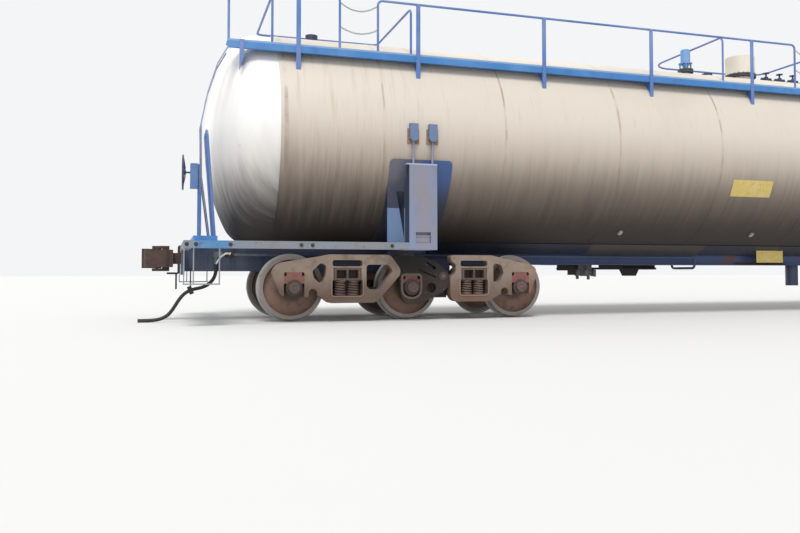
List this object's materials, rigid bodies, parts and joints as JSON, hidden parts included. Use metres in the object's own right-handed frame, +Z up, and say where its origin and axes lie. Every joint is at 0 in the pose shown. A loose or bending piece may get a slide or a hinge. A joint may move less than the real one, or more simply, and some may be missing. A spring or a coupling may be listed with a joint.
{
  "type": "railway tank car",
  "caption": "Long insulated railway tank car on articulated trucks, with a walkway, ladders, top fittings and knuckle couplers that swing and open.",
  "frame": {"origin": "middle of the car between the wheels, at the tips of the wheel flanges", "axes": "+X along the car away from the hand brake end, +Y across to the side without the walkway, +Z up"},
  "size_m": [21.352, 3.27, 4.7424],
  "materials": {
    "jacket_paint": "satin, weathered",
    "head_paint": "satin, dusty",
    "blue_paint": "faded satin",
    "navy_paint": "faded satin",
    "cast_steel": "rusty",
    "adapter_steel": "rusty",
    "bearing_steel": "greasy",
    "wheel_steel": "worn tread, rusty plate",
    "spring_steel": "rusty",
    "rubber": "matt",
    "fitting_metal": "matt"
  },
  "bodies": {
    "car": {"air_hose_a": "rubber", "air_hose_b": "rubber", "air_reservoir": "navy_paint", "body_bolsters": "blue_paint", "bottom_outlet": "navy_paint", "brake_cylinder": "navy_paint", "brake_pipe": "fitting_metal", "centre_sill": "blue_paint", "control_valve": "navy_paint", "corner_steps": "navy_paint", "draft_sills": "navy_paint", "end_frames": "blue_paint", "end_platforms": "blue_paint", "end_rails": "blue_paint", "gladhand_a": "fitting_metal", "gladhand_b": "fitting_metal", "guard_rails": "blue_paint", "hand_brake_gear": "blue_paint", "hand_brake_wheel": "navy_paint", "handrails": "blue_paint", "hose_clamps": "fitting_metal", "ladders": "navy_paint", "manway": "jacket_paint", "saddles": "jacket_paint", "safety_valve": "navy_paint", "stanchion_posts": "blue_paint", "tank_heads": "head_paint", "tank_jacket": "jacket_paint", "tie_rods": "blue_paint", "uncoupling_levers": "fitting_metal", "valve_cluster": "navy_paint", "walkway": "blue_paint"},
    "truck_b": {"side_frames_b": "cast_steel", "middle_arms_b": "cast_steel", "truck_bolster_b": "cast_steel", "springs_b": "spring_steel", "bearings_b": "bearing_steel", "adapters_b": "adapter_steel", "brake_beams_b": "cast_steel"},
    "wheelset_b1": {"wheelset_1_b": "wheel_steel"},
    "wheelset_b2": {"wheelset_2_b": "wheel_steel"},
    "wheelset_b3": {"wheelset_3_b": "wheel_steel"},
    "coupler_body_b": {"coupler_b": "cast_steel"},
    "knuckle_body_b": {"knuckle_b": "cast_steel"},
    "truck_a": {"side_frames_a": "cast_steel", "middle_arms_a": "cast_steel", "truck_bolster_a": "cast_steel", "springs_a": "spring_steel", "bearings_a": "bearing_steel", "adapters_a": "adapter_steel", "brake_beams_a": "cast_steel"},
    "wheelset_a1": {"wheelset_1_a": "wheel_steel"},
    "wheelset_a2": {"wheelset_2_a": "wheel_steel"},
    "wheelset_a3": {"wheelset_3_a": "wheel_steel"},
    "coupler_body_a": {"coupler_a": "cast_steel"},
    "knuckle_body_a": {"knuckle_a": "cast_steel"}
  },
  "joints": [
    {"name": "truck_b_swivel", "type": "hinge", "parent": "car", "child": "truck_b", "pos_m": [-6.9, 0, 0.6757], "axis": [0, 0, 1], "range_deg": [-6, 6]},
    {"name": "wheelset_b1_spin", "type": "hinge", "parent": "truck_b", "child": "wheelset_b1", "pos_m": [-8.6145, 0, 0.4826], "axis": [0, 1, 0], "continuous": true},
    {"name": "wheelset_b2_spin", "type": "hinge", "parent": "truck_b", "child": "wheelset_b2", "pos_m": [-6.9, 0, 0.4826], "axis": [0, 1, 0], "continuous": true},
    {"name": "wheelset_b3_spin", "type": "hinge", "parent": "truck_b", "child": "wheelset_b3", "pos_m": [-5.1855, 0, 0.4826], "axis": [0, 1, 0], "continuous": true},
    {"name": "coupler_b_swing", "type": "hinge", "parent": "car", "child": "coupler_body_b", "pos_m": [-9.95, 0, 0.9014], "axis": [0, 0, 1], "range_deg": [-7, 7]},
    {"name": "knuckle_b_open", "type": "hinge", "parent": "coupler_body_b", "child": "knuckle_body_b", "pos_m": [-10.435, 0.118, 0.9014], "axis": [0, 0, -1], "range_deg": [0, 45]},
    {"name": "truck_a_swivel", "type": "hinge", "parent": "car", "child": "truck_a", "pos_m": [6.9, 0, 0.6757], "axis": [0, 0, 1], "range_deg": [-6, 6]},
    {"name": "wheelset_a1_spin", "type": "hinge", "parent": "truck_a", "child": "wheelset_a1", "pos_m": [8.6145, 0, 0.4826], "axis": [0, 1, 0], "continuous": true},
    {"name": "wheelset_a2_spin", "type": "hinge", "parent": "truck_a", "child": "wheelset_a2", "pos_m": [6.9, 0, 0.4826], "axis": [0, 1, 0], "continuous": true},
    {"name": "wheelset_a3_spin", "type": "hinge", "parent": "truck_a", "child": "wheelset_a3", "pos_m": [5.1855, 0, 0.4826], "axis": [0, 1, 0], "continuous": true},
    {"name": "coupler_a_swing", "type": "hinge", "parent": "car", "child": "coupler_body_a", "pos_m": [9.95, 0, 0.9014], "axis": [0, 0, 1], "range_deg": [-7, 7]},
    {"name": "knuckle_a_open", "type": "hinge", "parent": "coupler_body_a", "child": "knuckle_body_a", "pos_m": [10.435, -0.118, 0.9014], "axis": [0, 0, -1], "range_deg": [0, 45]}
  ]
}
